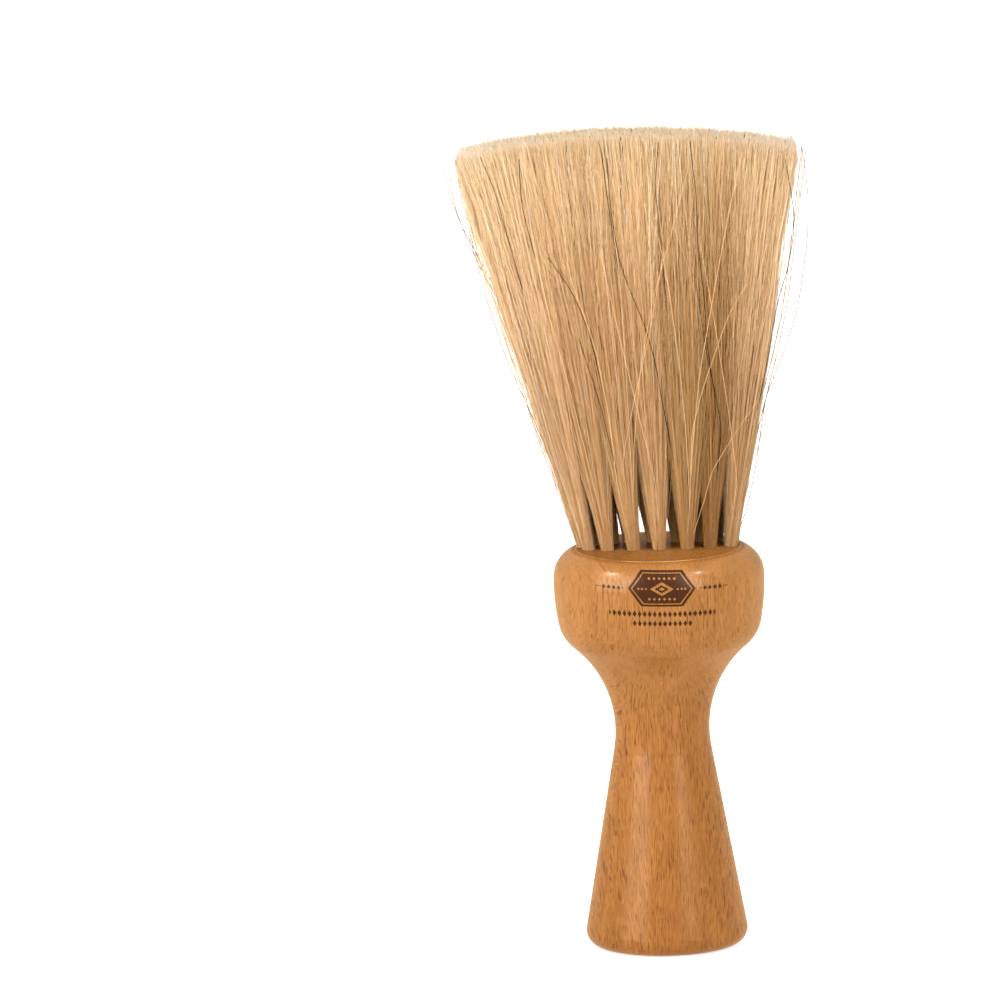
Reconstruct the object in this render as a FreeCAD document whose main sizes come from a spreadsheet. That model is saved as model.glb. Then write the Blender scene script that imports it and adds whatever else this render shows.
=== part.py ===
# Neck duster brush: a turned beech handle that stands on its foot, with a
# flat fan of long horsehair set in its head.
#
# Frame: origin at the centre of the foot, +Z up the turning axis. The fan
# spreads along X; -Y is the front. Millimetres and degrees.
#
# Pieces: the handle, sixteen tufts of hair, and the wire anchors that hold
# the folded tufts in their blind holes (one anchor in every hole).
import FreeCAD, Part
import math
import os
import Sketcher

Vector = FreeCAD.Vector

# ------------------------------------------------------------ dimensions
# alias, value, what it sets
SHARED_DIMS = [
    # turned handle
    ("foot_radius", 22.55, "widest radius of the foot"),
    ("foot_corner", 4.15, "round between the standing face and the side"),
    ("neck_radius", 13.16, "thinnest radius of the waist"),
    ("neck_height", 60.95, "height of the waist"),
    ("neck_arc", 31.4, "hollow of the waist"),
    ("belly_arc", 10.9, "round under the head"),
    ("barrel_arc", 61.4, "crown of the side of the head"),
    ("head_radius", 29.4, "widest radius of the head"),
    ("head_height", 103.2, "height of the widest part of the head"),
    ("shoulder_arc", 8.2, "round of the shoulder"),
    ("crest_radius", 23.3, "edge of the tuft face"),
    ("crest_height", 112.55, "height of that edge"),
    ("crest_round", 0.9, "eased edge of the tuft face"),
    ("crown", 0.3, "rise of the tuft face at its middle"),
    # tuft holes and anchors
    ("hole_radius", 1.9, "drilled hole, and the tuft's root"),
    ("hole_depth", 9.0, "depth below the collar height"),
    ("drill_overrun", 4.0, "length of the drill above the collar height"),
    ("collar_height", 113.8, "height where a tuft starts to flare"),
    ("neck_of_tuft", 12.0, "how far a tuft stays gathered"),
    ("gather_radius", 2.15, "tuft radius at the end of that"),
    ("anchor_thick", 0.45, "flat anchor wire"),
    ("anchor_wide", 4.3, "it bites into both sides of the hole"),
    ("anchor_tall", 2.0, "height of the anchor wire"),
    ("anchor_seat", 0.9, "hair folded under the anchor"),
]

# Columns after the tag: hole x and y, lean to the side (+ is +X), lean
# forward (+ is -Y), length above the collar, half axes of the oval of tips.
TUFT_FIELDS = ("hole_x", "hole_y", "lean_side", "lean_front", "tuft_length",
               "tip_half_wide", "tip_half_deep")
TUFTS = [
    ("end_left",     -21.3,  2.2, -15.2,  0.8, 111.5, 4.4, 8.6),
    ("front_01",     -19.5, -2.2, -11.4,  2.6, 112.5, 4.4, 6.8),
    ("front_02",     -14.3, -4.2,  -8.5,  1.7, 114.0, 5.8, 7.0),
    ("front_03",      -6.9, -5.4,  -6.2,  1.2, 114.6, 5.8, 7.0),
    ("front_04",       0.2, -5.2,  -3.2,  1.3, 114.6, 6.8, 7.0),
    ("front_05",       8.1, -5.0,   0.0,  1.4, 114.4, 6.8, 7.0),
    ("front_06",      14.5, -3.7,   3.0,  1.9, 113.6, 5.5, 6.9),
    ("front_07",      20.2, -1.5,   5.4,  2.8, 112.6, 4.4, 6.6),
    ("end_right",     20.9,  3.1,   8.8,  0.4, 112.0, 4.1, 8.2),
    ("back_01",      -17.1,  4.8, -12.9, -1.8, 112.5, 4.2, 6.6),
    ("back_02",      -12.7,  6.1, -10.4, -1.2, 114.0, 4.4, 6.9),
    ("back_03",       -8.0,  6.3,  -7.8, -1.0, 114.6, 5.1, 6.9),
    ("back_04",       -1.4,  6.3,  -5.3, -1.0, 114.6, 5.9, 6.9),
    ("back_05",        5.4,  6.3,  -2.5, -1.0, 114.5, 6.0, 6.9),
    ("back_06",       11.3,  6.0,   0.7, -1.1, 113.8, 5.9, 6.9),
    ("back_07",       16.3,  5.4,   4.4, -1.6, 112.8, 5.8, 6.5),
]
TAGS = [tuft[0] for tuft in TUFTS]

# The drilling must remove at least this many full hole volumes.
LEAST_HOLES_CUT = 6


def fill_sheet(doc):
    """A sheet with one aliased row for each dimension."""
    sheet = doc.addObject("Spreadsheet::Sheet", "Dims")
    sheet.Label = "Dims"
    rows = [("name", "value", "what it sets")]
    rows += [(alias, "%g" % value, note) for alias, value, note in SHARED_DIMS]
    for tag, *values in TUFTS:
        for field, value in zip(TUFT_FIELDS, values):
            rows.append(("%s_%s" % (field, tag), "%g" % value, ""))
    for row, (alias, value, note) in enumerate(rows, start=1):
        sheet.set("A%d" % row, alias)
        sheet.set("B%d" % row, value)
        if note:
            sheet.set("C%d" % row, note)
        if row > 1:
            sheet.setAlias("B%d" % row, alias)
    return sheet


doc = FreeCAD.newDocument("neck_duster")
sheet = fill_sheet(doc)
doc.recompute()


def dim(alias):
    """The number that a cell of the sheet holds."""
    return float(getattr(sheet, alias))


# -------------------------------------------------------- sketch helpers
# Sketcher's numbers for the points of a curve, and for the sketch's own
# origin and vertical axis.
START, END, CENTRE = 1, 2, 3
ORIGIN = (-1, 1)
UPRIGHT_AXIS = -2


def sketch_on(body, name, role, offset=None):
    """A sketch on one of the body's own origin planes."""
    plane = [f for f in body.Origin.OriginFeatures if f.Role == role][0]
    sketch = body.newObject("Sketcher::SketchObject", name)
    sketch.AttachmentSupport = (plane, [""])
    sketch.MapMode = "FlatFace"
    if offset is not None:
        sketch.setExpression("AttachmentOffset.Base.z", offset)
    return sketch


def bind(sketch, name, expression, value, kind, *places):
    """Add a named dimension to a sketch and tie it to the sheet."""
    index = sketch.addConstraint(Sketcher.Constraint(kind, *places, value))
    sketch.renameConstraint(index, name)
    sketch.setExpression("Constraints.%s" % name, expression)


def draw_disc(sketch, alias):
    """Circle round the sketch's origin, its radius tied to the sheet."""
    radius = dim(alias)
    circle = Part.Circle(Vector(0, 0, 0), Vector(0, 0, 1), radius)
    index = sketch.addGeometry(circle, False)
    sketch.addConstraint(Sketcher.Constraint("Coincident", index, CENTRE, *ORIGIN))
    bind(sketch, "radius", "Dims." + alias, radius, "Radius", index)


def draw_oval(sketch, alias_wide, alias_deep):
    """Ellipse round the sketch's origin, its half axes tied to the sheet."""
    wide, deep = dim(alias_wide), dim(alias_deep)
    centre = Vector(0, 0, 0)
    if wide >= deep:
        curve = Part.Ellipse(Vector(wide, 0, 0), Vector(0, deep, 0), centre)
        long_alias, short_alias, long_direction = alias_wide, alias_deep, "Horizontal"
    else:
        curve = Part.Ellipse(Vector(0, deep, 0), Vector(-wide, 0, 0), centre)
        long_alias, short_alias, long_direction = alias_deep, alias_wide, "Vertical"
    oval = sketch.addGeometry(curve, False)
    # exposing adds the two axes as the next lines of the sketch
    sketch.exposeInternalGeometry(oval)
    long_axis, short_axis = oval + 1, oval + 2
    sketch.addConstraint(Sketcher.Constraint("Coincident", oval, CENTRE, *ORIGIN))
    sketch.addConstraint(Sketcher.Constraint(long_direction, long_axis))
    bind(sketch, "long_axis", "2 * Dims." + long_alias,
         2 * dim(long_alias), "Distance", long_axis)
    bind(sketch, "short_axis", "2 * Dims." + short_alias,
         2 * dim(short_alias), "Distance", short_axis)


# ------------------------------------------------------- handle profile
def outer_crossing(centre_1, radius_1, centre_2, radius_2):
    """Where two circles cross, at the crossing farther from the axis."""
    gap = centre_2 - centre_1
    along = (radius_1 ** 2 - radius_2 ** 2 + gap.Length ** 2) / (2 * gap.Length)
    across = math.sqrt(max(radius_1 ** 2 - along ** 2, 0.0))
    middle = centre_1 + gap * (along / gap.Length)
    aside = Vector(gap.y, -gap.x, 0) * (across / gap.Length)
    return max(middle + aside, middle - aside, key=lambda point: point.x)


def angle(centre, point):
    return math.atan2(point.y - centre.y, point.x - centre.x)


def on_circle(centre, radius, turn):
    return centre + Vector(math.cos(turn), math.sin(turn), 0) * radius


def draw_profile(body):
    """Closed half section of the handle: sketch x is radius, y is height."""
    foot_corner, neck_arc = dim("foot_corner"), dim("neck_arc")
    belly_arc, barrel_arc = dim("belly_arc"), dim("barrel_arc")
    shoulder_arc, crown = dim("shoulder_arc"), dim("crown")
    crest_radius, crest_height = dim("crest_radius"), dim("crest_height")
    face_height = crest_height + crown
    face_arc = (crest_radius ** 2 + crown ** 2) / (2 * crown)

    corner_centre = Vector(dim("foot_radius") - foot_corner, foot_corner, 0)
    neck_centre = Vector(dim("neck_radius") + neck_arc, dim("neck_height"), 0)
    barrel_centre = Vector(dim("head_radius") - barrel_arc, dim("head_height"), 0)
    crest = Vector(crest_radius, crest_height, 0)
    face_centre = Vector(0, face_height - face_arc, 0)
    # the belly touches the waist outside and the barrel inside
    belly_centre = outer_crossing(neck_centre, neck_arc + belly_arc,
                                  barrel_centre, barrel_arc - belly_arc)
    # the shoulder touches the barrel inside and ends on the crest
    shoulder_centre = outer_crossing(barrel_centre, barrel_arc - shoulder_arc,
                                     crest, shoulder_arc)

    # the side is the common inner tangent of the foot corner and the waist
    reach = (neck_centre - corner_centre).Length
    tilt = (angle(corner_centre, neck_centre)
            - math.acos((foot_corner + neck_arc) / reach))
    belly_end = angle(barrel_centre, belly_centre)
    barrel_end = angle(barrel_centre, shoulder_centre)

    sketch = sketch_on(body, "HandleProfile", "XZ_Plane")

    def line(start, end):
        return sketch.addGeometry(Part.LineSegment(start, end), False)

    def arc(centre, radius, start, end):
        circle = Part.Circle(centre, Vector(0, 0, 1), radius)
        return sketch.addGeometry(Part.ArcOfCircle(circle, start, end), False)

    foot = line(Vector(0, 0, 0), Vector(corner_centre.x, 0, 0))
    corner = arc(corner_centre, foot_corner, -math.pi / 2, tilt)
    side = line(on_circle(corner_centre, foot_corner, tilt),
                on_circle(neck_centre, neck_arc, tilt + math.pi))
    waist = arc(neck_centre, neck_arc, angle(neck_centre, belly_centre), tilt + math.pi)
    belly = arc(belly_centre, belly_arc, angle(belly_centre, neck_centre), belly_end)
    barrel = arc(barrel_centre, barrel_arc, belly_end, barrel_end)
    shoulder = arc(shoulder_centre, shoulder_arc, barrel_end,
                   angle(shoulder_centre, crest))
    face = arc(face_centre, face_arc, angle(face_centre, crest), math.pi / 2)
    axis = line(Vector(0, face_height, 0), Vector(0, 0, 0))

    sketch.addConstraint([Sketcher.Constraint(*rule) for rule in (
        ("Coincident", foot, START, *ORIGIN),
        ("Horizontal", foot),
        ("Tangent", foot, END, corner, START),
        ("Tangent", corner, END, side, START),
        ("Tangent", side, END, waist, END),
        ("Tangent", waist, START, belly, START),
        ("Tangent", belly, END, barrel, START),
        ("Tangent", barrel, END, shoulder, START),
        ("Coincident", shoulder, END, face, START),
        ("PointOnObject", face, CENTRE, UPRIGHT_AXIS),
        ("Coincident", face, END, axis, START),
        ("Coincident", axis, END, *ORIGIN),
        ("Vertical", axis),
    )])
    # name, expression, starting value, kind of dimension, what it measures
    for dimension in (
        ("foot_corner", "Dims.foot_corner", foot_corner, "Radius", corner),
        ("foot_centre", "Dims.foot_radius - Dims.foot_corner",
         corner_centre.x, "DistanceX", *ORIGIN, corner, CENTRE),
        ("neck_arc", "Dims.neck_arc", neck_arc, "Radius", waist),
        ("neck_centre", "Dims.neck_radius + Dims.neck_arc",
         neck_centre.x, "DistanceX", *ORIGIN, waist, CENTRE),
        ("neck_height", "Dims.neck_height",
         neck_centre.y, "DistanceY", *ORIGIN, waist, CENTRE),
        ("belly_arc", "Dims.belly_arc", belly_arc, "Radius", belly),
        ("barrel_arc", "Dims.barrel_arc", barrel_arc, "Radius", barrel),
        ("barrel_centre", "Dims.barrel_arc - Dims.head_radius",
         -barrel_centre.x, "DistanceX", barrel, CENTRE, *ORIGIN),
        ("head_height", "Dims.head_height",
         barrel_centre.y, "DistanceY", *ORIGIN, barrel, CENTRE),
        ("shoulder_arc", "Dims.shoulder_arc", shoulder_arc, "Radius", shoulder),
        ("crest_radius", "Dims.crest_radius",
         crest_radius, "DistanceX", *ORIGIN, shoulder, END),
        ("crest_height", "Dims.crest_height",
         crest_height, "DistanceY", *ORIGIN, shoulder, END),
        ("face_height", "Dims.crest_height + Dims.crown",
         face_height, "DistanceY", *ORIGIN, axis, START),
    ):
        bind(sketch, *dimension)
    return sketch


# --------------------------------------------------------- handle blank
def circle_edge(shape, radius, height):
    """Name of the circular edge nearest this radius and height."""
    misses = []
    for number, edge in enumerate(shape.Edges, start=1):
        if edge.Degenerated or not edge.Closed:
            continue
        if isinstance(edge.Curve, Part.Circle):
            miss = abs(edge.Curve.Radius - radius) + abs(edge.Curve.Center.z - height)
            misses.append((miss, number))
    return "Edge%d" % min(misses)[1]


def build_blank():
    """The turned handle before drilling."""
    body = doc.addObject("PartDesign::Body", "HandleBlank")
    body.Label = "handle_blank"
    profile = draw_profile(body)
    doc.recompute()

    turned = body.newObject("PartDesign::Revolution", "Turned")
    turned.Profile = profile
    turned.ReferenceAxis = (profile, ["V_Axis"])
    turned.Angle = 360.0
    profile.Visibility = False
    doc.recompute()

    eased = body.newObject("PartDesign::Fillet", "EasedCrest")
    crest_edge = circle_edge(turned.Shape, dim("crest_radius"), dim("crest_height"))
    eased.Base = (turned, [crest_edge])
    eased.setExpression("Radius", "Dims.crest_round")
    doc.recompute()
    body.Tip = eased
    doc.recompute()
    return body


# ----------------------------------------------------- holes and anchors
def shifted(local):
    """Placement expression for a plain shift by "x; y; z"."""
    return "placement(vector(%s); rotation(0; 0; 0))" % local


def seat(tag, local):
    """Placement of something in a tuft's own frame: its origin is on the
    hole's centre line at the collar height, its z runs along the tuft."""
    return ("placement(vector(Dims.hole_x_{0}; Dims.hole_y_{0}; "
            "Dims.collar_height); rotation(0; Dims.lean_side_{0}; "
            "Dims.lean_front_{0})) * ").format(tag) + shifted(local)


# Lowest corner of the anchor wire in a tuft's own frame.
ANCHOR_CORNER = ("-Dims.anchor_thick / 2; -Dims.anchor_wide / 2; "
                 "Dims.anchor_seat - Dims.hole_depth")


def shape_as_anchor(box, placement):
    """Give a box the size of the anchor wire and put it in place."""
    box.setExpression("Length", "Dims.anchor_thick")
    box.setExpression("Width", "Dims.anchor_wide")
    box.setExpression("Height", "Dims.anchor_tall")
    box.setExpression("Placement", placement)


def anchor_box(kind, tag):
    box = doc.addObject("Part::Box", kind + tag)
    shape_as_anchor(box, seat(tag, ANCHOR_CORNER))
    return box


def build_drill(tag):
    drill = doc.addObject("Part::Cylinder", "Drill_" + tag)
    drill.setExpression("Radius", "Dims.hole_radius")
    drill.setExpression("Height", "Dims.hole_depth + Dims.drill_overrun")
    drill.setExpression("Placement", seat(tag, "0; 0; -Dims.hole_depth"))
    return drill


def build_handle(blank):
    """Cut every hole, and the slit its anchor bites, out of the blank."""
    cutters = []
    for tag in TAGS:
        cutters += [build_drill(tag), anchor_box("Slit_", tag)]
    tools = doc.addObject("Part::MultiFuse", "HoleTools")
    tools.Shapes = cutters
    doc.recompute()
    handle = doc.addObject("Part::Cut", "Handle")
    handle.Base = blank
    handle.Tool = tools
    handle.Label = "handle"
    return handle


def build_anchors():
    anchors = doc.addObject("Part::Compound", "Anchors")
    anchors.Links = [anchor_box("Anchor_", tag) for tag in TAGS]
    anchors.Label = "anchors"
    doc.recompute()
    return anchors


# ---------------------------------------------------------------- tufts
def build_tuft(tag):
    """A flaring tuft on a round root, with room for its anchor."""
    body = doc.addObject("PartDesign::Body", "Tuft_" + tag)
    body.Label = "tuft_" + tag

    mouth = sketch_on(body, "Mouth_" + tag, "XY_Plane")
    draw_disc(mouth, "hole_radius")
    gather = sketch_on(body, "Gather_" + tag, "XY_Plane", "Dims.neck_of_tuft")
    draw_disc(gather, "gather_radius")
    tips = sketch_on(body, "Tips_" + tag, "XY_Plane", "Dims.tuft_length_" + tag)
    draw_oval(tips, "tip_half_wide_" + tag, "tip_half_deep_" + tag)
    doc.recompute()

    flare = body.newObject("PartDesign::AdditiveLoft", "Flare_" + tag)
    flare.Profile = mouth
    flare.Sections = [gather, tips]
    flare.Ruled = True
    doc.recompute()

    stem = sketch_on(body, "Stem_" + tag, "XY_Plane")
    draw_disc(stem, "hole_radius")
    root = body.newObject("PartDesign::Pad", "Root_" + tag)
    root.Profile = stem
    root.Reversed = True
    root.setExpression("Length", "Dims.hole_depth")
    doc.recompute()

    # the hair folds round the wire
    fold = body.newObject("PartDesign::SubtractiveBox", "Fold_" + tag)
    shape_as_anchor(fold, shifted(ANCHOR_CORNER))
    body.Tip = fold
    body.setExpression("Placement", seat(tag, "0; 0; 0"))
    for sketch in (mouth, gather, tips, stem):
        sketch.Visibility = False
    return body


blank = build_blank()
handle = build_handle(blank)
anchors = build_anchors()
tufts = [build_tuft(tag) for tag in TAGS]
doc.recompute()

# --------------------------------------------------------- checks, export
failed = [item.Name for item in doc.Objects
          if "Invalid" in item.State or "Error" in item.State]
if failed:
    raise RuntimeError("failed objects: %s" % ", ".join(failed))

hole_volume = math.pi * dim("hole_radius") ** 2 * dim("hole_depth")
if not handle.Shape.Volume < blank.Shape.Volume - LEAST_HOLES_CUT * hole_volume:
    raise RuntimeError("the holes did not cut the handle")

pieces = [handle, anchors] + tufts
for piece in pieces:
    shape = piece.Shape
    if shape.isNull() or not shape.isValid():
        raise RuntimeError("bad shape: " + piece.Label)
    expected = len(TUFTS) if piece is anchors else 1
    if len(shape.Solids) != expected:
        raise RuntimeError("%s has %d solids" % (piece.Label, len(shape.Solids)))

os.makedirs("parts", exist_ok=True)
for piece in pieces:
    piece.Shape.exportStep("parts/%s.step" % piece.Label)
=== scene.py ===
"""Looks of a neck duster: a lacquered turned beech handle and a fan of horsehair.

The duster stands upright on its handle, along +Z. Its front faces -Y, and the fan is broad
in x and thin in y. Handle and hair are worked out in millimetres; the floor, the lights
and the camera are in metres.
"""
import math

import bpy
import numpy as np
from mathutils import Matrix, Vector


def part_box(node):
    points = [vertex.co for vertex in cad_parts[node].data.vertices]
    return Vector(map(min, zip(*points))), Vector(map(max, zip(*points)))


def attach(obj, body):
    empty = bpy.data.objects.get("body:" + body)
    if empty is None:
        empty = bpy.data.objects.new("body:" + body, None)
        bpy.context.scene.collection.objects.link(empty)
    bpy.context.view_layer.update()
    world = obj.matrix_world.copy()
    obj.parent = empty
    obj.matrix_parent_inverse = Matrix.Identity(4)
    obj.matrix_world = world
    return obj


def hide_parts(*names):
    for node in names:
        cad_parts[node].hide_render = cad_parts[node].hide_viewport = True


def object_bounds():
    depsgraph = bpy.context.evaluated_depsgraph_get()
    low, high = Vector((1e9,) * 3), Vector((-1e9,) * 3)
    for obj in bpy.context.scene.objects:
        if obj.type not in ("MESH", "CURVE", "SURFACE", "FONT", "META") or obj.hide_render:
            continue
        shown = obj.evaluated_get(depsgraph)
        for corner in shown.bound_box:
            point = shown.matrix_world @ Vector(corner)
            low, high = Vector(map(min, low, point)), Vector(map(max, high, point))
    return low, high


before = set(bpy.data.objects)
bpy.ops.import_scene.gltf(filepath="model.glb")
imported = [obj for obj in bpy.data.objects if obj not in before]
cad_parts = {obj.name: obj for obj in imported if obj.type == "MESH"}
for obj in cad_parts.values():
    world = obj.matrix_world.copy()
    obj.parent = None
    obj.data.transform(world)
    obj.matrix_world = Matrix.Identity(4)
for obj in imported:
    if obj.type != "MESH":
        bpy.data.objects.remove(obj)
CAD_LO, CAD_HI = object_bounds()
MM = 0.001
HANDLE_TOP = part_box("handle")[1].z / MM
FACE_Z = HANDLE_TOP - 0.3                         # the tuft face, at its edge

# The cut of the hair: a crown that falls away to both sides and toward the back
TOP_Z = CAD_HI.z / MM                             # highest cut tip
MID_X = (CAD_LO.x + CAD_HI.x) / 2 / MM + 1.5      # crown of the cut
CROWN_Z = TOP_Z + 0.9
CUT_CURVE = 0.00197                               # fall per square mm from the crown
CUT_SLOPE = 0.075                                 # fall per mm of y

scene = bpy.context.scene
scene.view_settings.view_transform = "Standard"
scene.view_settings.look = "None"
scene.view_settings.exposure = 0.0
scene.view_settings.gamma = 1.0


# ------------------------------------------------------------ node graphs
def srgb(*channels):
    """Linear colour from sRGB channels of 0 to 255."""
    scaled = [c / 255.0 for c in channels]
    return tuple(c / 12.92 if c <= 0.04045 else ((c + 0.055) / 1.055) ** 2.4 for c in scaled)


class Graph:
    """The node tree of a material or world. A value is a number, a colour or a socket."""

    def __init__(self, owner):
        owner.use_nodes = True
        self.owner = owner
        self.tree = owner.node_tree
        for node in list(self.tree.nodes):
            self.tree.nodes.remove(node)

    def node(self, kind, inputs=None, **properties):
        """Add a node; inputs maps socket names or numbers to values."""
        node = self.tree.nodes.new("ShaderNode" + kind)
        for name, value in properties.items():
            setattr(node, name, value)
        for key, value in (inputs or {}).items():
            socket = node.inputs[key]
            if isinstance(value, bpy.types.NodeSocket):
                self.tree.links.new(value, socket)
            elif socket.type == "RGBA" and len(value) == 3:
                socket.default_value = (*value, 1.0)
            else:
                socket.default_value = value
        return node

    def math(self, operation, *values, clamp=False):
        inputs = dict(enumerate(values))
        return self.node("Math", inputs, operation=operation, use_clamp=clamp).outputs[0]

    def times(self, product, *factors):
        for factor in factors:
            product = self.math("MULTIPLY", product, factor)
        return product

    def plus(self, a, b):
        return self.math("ADD", a, b)

    def over(self, a, b):
        return self.math("DIVIDE", a, b)

    def times_plus(self, value, factor, extra):
        return self.math("MULTIPLY_ADD", value, factor, extra)

    def absolute(self, value):
        return self.math("ABSOLUTE", value)

    def distance(self, value, centre):
        return self.absolute(self.plus(value, -centre))

    def hypotenuse(self, a, b):
        return self.math("SQRT", self.plus(self.times(a, a), self.times(b, b)))

    def split(self, vector):
        return self.node("SeparateXYZ", {0: vector}).outputs

    def combine(self, x, y, z):
        return self.node("CombineXYZ", {0: x, 1: y, 2: z}).outputs[0]

    def noise(self, vector, scale=1.0, detail=2.0, rough=0.5):
        inputs = {"Vector": vector, "Scale": scale, "Detail": detail, "Roughness": rough}
        return self.node("TexNoise", inputs).outputs["Fac"]

    def streaks(self, place, frequency, shift=(None, None, None), **settings):
        """Noise with its own frequency, and maybe a shift, along each coordinate."""
        scaled = [self.times(p, f) if s is None else self.times_plus(p, f, s)
                  for p, f, s in zip(place, frequency, shift)]
        return self.noise(self.combine(*scaled), **settings)

    def remap(self, value, source, to=(0.0, 1.0)):
        """Smooth step from the source range to the target range."""
        inputs = {"Value": value, "From Min": source[0], "From Max": source[1],
                  "To Min": to[0], "To Max": to[1]}
        return self.node("MapRange", inputs, clamp=True,
                         interpolation_type="SMOOTHSTEP").outputs["Result"]

    def mix(self, factor, a, b, blend="MIX"):
        # sockets 6 and 7 are the two colours
        return self.node("Mix", {0: factor, 6: a, 7: b}, data_type="RGBA",
                         blend_type=blend).outputs[2]

    def tint(self, base, mask, strength, colour):
        return self.mix(self.times(mask, strength), base, colour)

    def shader(self, kind, **inputs):
        """A shader node; underscores in the input names stand for spaces."""
        named = {key.replace("_", " "): value for key, value in inputs.items()}
        return self.node(kind, named).outputs[0]

    def mix_shader(self, factor, a, b):
        return self.node("MixShader", {0: factor, 1: a, 2: b}).outputs[0]

    def bump(self, height, strength, distance):
        inputs = {"Strength": strength, "Distance": distance, "Height": height}
        return self.node("Bump", inputs).outputs[0]

    def finish(self, surface, kind="OutputMaterial"):
        self.node(kind, {0: surface})
        return self.owner


def material_graph(name):
    return Graph(bpy.data.materials.new(name))


# ------------------------------------------------------- lacquered beech
PITH_X, PITH_Y = 6.0, -84.0     # the blank was cut beside the pith, in front of it
ARC_RADIUS = 78.0               # turns the angle about the pith into a length
WANDER_FREQUENCY = (0.045, 0.045, 0.016)   # around the pith, outward from it, along z
WANDER_ARC, WANDER_OUT = 5.0, 7.0          # how far the grain wanders


def beech_grain(graph, x, y, z, normal):
    """Masks of the grain: rays run outward from the pith, rings go round it."""
    pith_x = graph.plus(x, -PITH_X)
    pith_y = graph.plus(y, -PITH_Y)
    arc = graph.times(graph.math("ARCTAN2", pith_x, pith_y), ARC_RADIUS)
    outward = graph.hypotenuse(pith_x, pith_y)
    wander = graph.streaks((arc, outward, z), WANDER_FREQUENCY, detail=1.0)
    arc = graph.times_plus(wander, WANDER_ARC, arc)
    outward = graph.times_plus(wander, WANDER_OUT, outward)
    place = (arc, outward, z)

    ring_place = graph.combine(graph.times(outward, 0.42), 0.0, graph.times(z, 0.004))
    # rays are short upright dashes on the face, wider flakes on the quarter
    ray_strong = graph.streaks(place, frequency=(4.5, 0.14, 0.31), detail=0.0)
    ray_faint = graph.streaks(place, frequency=(6.4, 0.18, 0.42), shift=(31.0, 17.0, None),
                              detail=0.0)
    # streaks show less at the sides and on surfaces that face up or down
    shown = graph.times(
        graph.remap(graph.absolute(x), (16.0, 26.0), to=(1.0, 0.32)),
        graph.remap(graph.absolute(graph.split(normal)[2]), (0.35, 0.85), to=(1.0, 0.5)))
    return {
        "ring": graph.noise(ring_place, detail=2.0),
        "broad": graph.streaks(place, frequency=(0.11, 0.05, 0.012), detail=2.0),
        "fibre": graph.streaks(place, frequency=(2.6, 0.8, 0.045), detail=3.0, rough=0.62),
        "vessel": graph.streaks(place, frequency=(6.5, 1.6, 0.16), detail=1.0),
        "shown": shown,
        "dash": graph.times(graph.remap(ray_strong, (0.648, 0.695)), shown),
        "faint_dash": graph.times(graph.remap(ray_faint, (0.62, 0.68)), shown)}


def wood_colour(graph, grain, z):
    base = graph.mix(graph.remap(grain["broad"], (0.3, 0.7)), srgb(140, 88, 37),
                     srgb(156, 102, 49))
    base = graph.tint(base, graph.remap(grain["ring"], (0.42, 0.62)), strength=0.26,
                      colour=srgb(124, 73, 25))
    fibre = graph.times(graph.remap(grain["fibre"], (0.38, 0.62)), 0.50)
    base = graph.tint(base, fibre, strength=grain["shown"], colour=srgb(118, 70, 24))
    # vessels: hair-thin dark and light lines
    base = graph.tint(base, graph.remap(grain["vessel"], (0.54, 0.70)), strength=0.38,
                      colour=srgb(100, 56, 17))
    base = graph.tint(base, graph.remap(grain["vessel"], (0.30, 0.45), to=(1.0, 0.0)),
                      strength=0.30, colour=srgb(180, 124, 66))
    # paler toward the head, deeper toward the foot
    base = graph.mix(graph.remap(z, (40.0, 100.0), to=(0.0, 0.09)), base,
                     srgb(178, 148, 101))
    base = graph.mix(graph.remap(z, (5.0, 75.0), to=(0.10, 0.0)), base, srgb(92, 50, 16))
    base = graph.tint(base, grain["faint_dash"], strength=0.40, colour=srgb(100, 52, 16))
    return graph.tint(base, grain["dash"], strength=0.76, colour=srgb(88, 42, 11))


def painted_edge_highlight(graph, base, place, x, y, z):
    """Painted highlights on the sharp edge of the tuft face, at the front and rear."""
    radius = graph.hypotenuse(x, y)
    highlight_noise = graph.noise(place, scale=260.0, detail=1.0)
    front = graph.times(
        graph.remap(graph.distance(radius, 23.15), (0.05, 0.36), to=(1.0, 0.0)),
        graph.remap(z, (HANDLE_TOP - 1.2, HANDLE_TOP - 0.6)),
        graph.remap(graph.over(y, -23.0), (0.86, 0.99), to=(0.25, 1.0)),
        graph.remap(highlight_noise, (0.25, 0.55), to=(0.55, 1.0)))
    # painted highlight: a thin pale line along the front of the edge, strongest where it faces the
    # camera
    base = graph.tint(base, front, strength=0.85, colour=srgb(232, 190, 138))
    rear = graph.times(
        graph.remap(graph.over(y, 23.0), (0.70, 0.86)),
        graph.remap(radius, (21.7, 22.3)),
        graph.remap(z, (HANDLE_TOP - 1.4, HANDLE_TOP - 0.8)))
    # painted highlight: pale arcs along the rear of the edge, seen between the tufts
    return graph.tint(base, rear, strength=graph.remap(highlight_noise, (0.3, 0.5), to=(0.15, 0.55)),
                      colour=srgb(240, 204, 158))


PRINT_X = 0.7                    # middle of the printed ornament
PRINT_Z = HANDLE_TOP - 6.9
PRINT_TILT = 0.026               # rise of the print's height reading per mm of x
BEAD_PITCH = 1.4


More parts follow.
